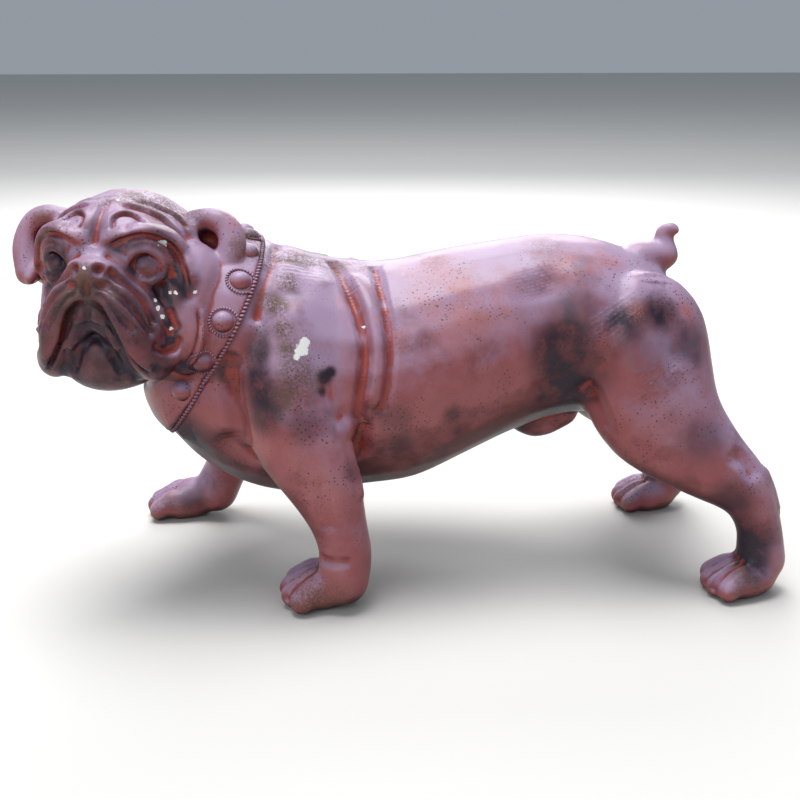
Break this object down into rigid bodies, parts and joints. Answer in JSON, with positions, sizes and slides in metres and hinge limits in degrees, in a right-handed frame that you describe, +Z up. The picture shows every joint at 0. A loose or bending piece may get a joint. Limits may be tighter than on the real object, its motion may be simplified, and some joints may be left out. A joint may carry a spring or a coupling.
{
  "type": "garden statue",
  "caption": "Life-size standing bulldog for a garden, cast in one piece with a studded, rope-edged collar, its head turned to the left.",
  "frame": {"origin": "middle of the dog's outer box at the level of its soles", "axes": "+X from the head towards the tail, -Y the dog's left side, which the picture shows, +Z up"},
  "size_m": [0.7844, 0.3286, 0.4097],
  "materials": {
    "weathered_coat": "worn semi-gloss mauve-brown paint over red oxide, blue-black in the creases, with speckles, dirt and small chips"
  },
  "bodies": {
    "root": {"bulldog": "weathered_coat"}
  },
  "joints": []
}
